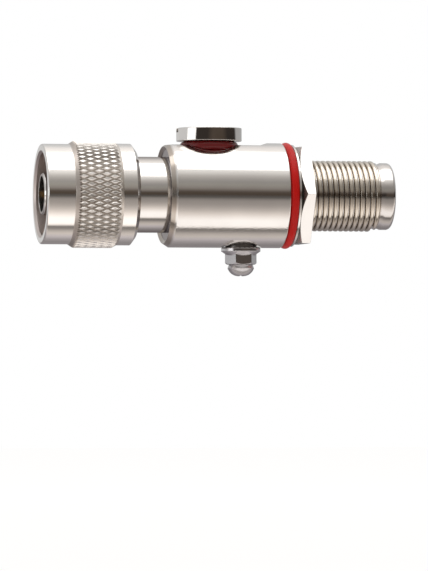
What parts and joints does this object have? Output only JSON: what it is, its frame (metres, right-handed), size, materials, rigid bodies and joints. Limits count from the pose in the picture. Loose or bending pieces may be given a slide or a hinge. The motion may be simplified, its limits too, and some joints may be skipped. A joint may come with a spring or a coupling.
{
  "type": "coax lightning arrestor",
  "caption": "Coaxial surge arrestor: knurled-nut plug, round body with slotted gas tube cap and ground screw, threaded bulkhead jack with sealing ring and hex nut.",
  "frame": {"origin": "on the coaxial axis, in the plane of the body's right shoulder, which a bulkhead panel is clamped against", "axes": "+X along the coaxial axis towards the jack, +Z towards the gas tube cap, so the ground screw points to -Z"},
  "size_m": [0.0701, 0.022, 0.0291],
  "materials": {
    "nickel": "satin nickel plate over turned brass",
    "gold": "gold plate over turned brass",
    "steel": "plated steel",
    "spring_steel": "dark spring steel",
    "ptfe": "white insulator",
    "red_rubber": "red silicone",
    "ceramic": "white ceramic"
  },
  "bodies": {
    "body": {"body_barrel": "nickel", "plug_adapter": "nickel", "snap_ring": "steel", "plug_gasket": "red_rubber", "plug_insulator": "ptfe", "plug_pin": "gold", "centre_conductor": "gold", "line_bead": "ptfe", "jack_insulator": "ptfe", "jack_socket": "gold", "bulkhead_seal": "red_rubber", "gas_tube_ceramic": "ceramic", "gas_tube_lower_electrode": "steel", "gas_tube_upper_electrode": "steel", "contact_spring": "steel"},
    "coupling_nut": {"coupling_nut": "nickel"},
    "bulkhead_washer": {"bulkhead_washer": "nickel"},
    "bulkhead_nut": {"bulkhead_nut": "nickel"},
    "cap_seal": {"cap_oring": "red_rubber"},
    "gas_tube_cap": {"gas_tube_cap": "nickel"},
    "ground_nut": {"ground_nut": "steel", "ground_lock_washer": "spring_steel"},
    "ground_screw": {"ground_screw": "steel"}
  },
  "joints": [
    {"name": "coupling_nut_spin", "type": "hinge", "parent": "body", "child": "coupling_nut", "pos_m": [-0.0387, 0, 0], "axis": [1, 0, 0], "continuous": true},
    {"name": "bulkhead_nut_travel", "type": "slide", "parent": "body", "child": "bulkhead_washer", "axis": [1, 0, 0], "range_m": [0, 0.0205]},
    {"name": "bulkhead_nut_turn", "type": "hinge", "parent": "bulkhead_washer", "child": "bulkhead_nut", "pos_m": [0.0034, 0, 0], "axis": [1, 0, 0], "range_deg": [0, 6974]},
    {"name": "cap_travel", "type": "slide", "parent": "body", "child": "cap_seal", "axis": [0, 0, 1], "range_m": [0, 0.0065]},
    {"name": "cap_turn", "type": "hinge", "parent": "cap_seal", "child": "gas_tube_cap", "pos_m": [-0.0145, 0, 0.01], "axis": [0, 0, 1], "range_deg": [0, 3121]},
    {"name": "ground_screw_travel", "type": "slide", "parent": "body", "child": "ground_nut", "axis": [0, 0, -1], "range_m": [0, 0.004]},
    {"name": "ground_screw_turn", "type": "hinge", "parent": "ground_nut", "child": "ground_screw", "pos_m": [-0.0081, 0, -0.012], "axis": [0, 0, -1], "range_deg": [0, 2881]}
  ],
  "couplings": [
    {"joint": "bulkhead_nut_turn", "follows": "bulkhead_nut_travel", "rad_per_m": 5937.1},
    {"joint": "cap_turn", "follows": "cap_travel", "rad_per_m": 8377.6},
    {"joint": "ground_screw_turn", "follows": "ground_screw_travel", "rad_per_m": 12566}
  ]
}
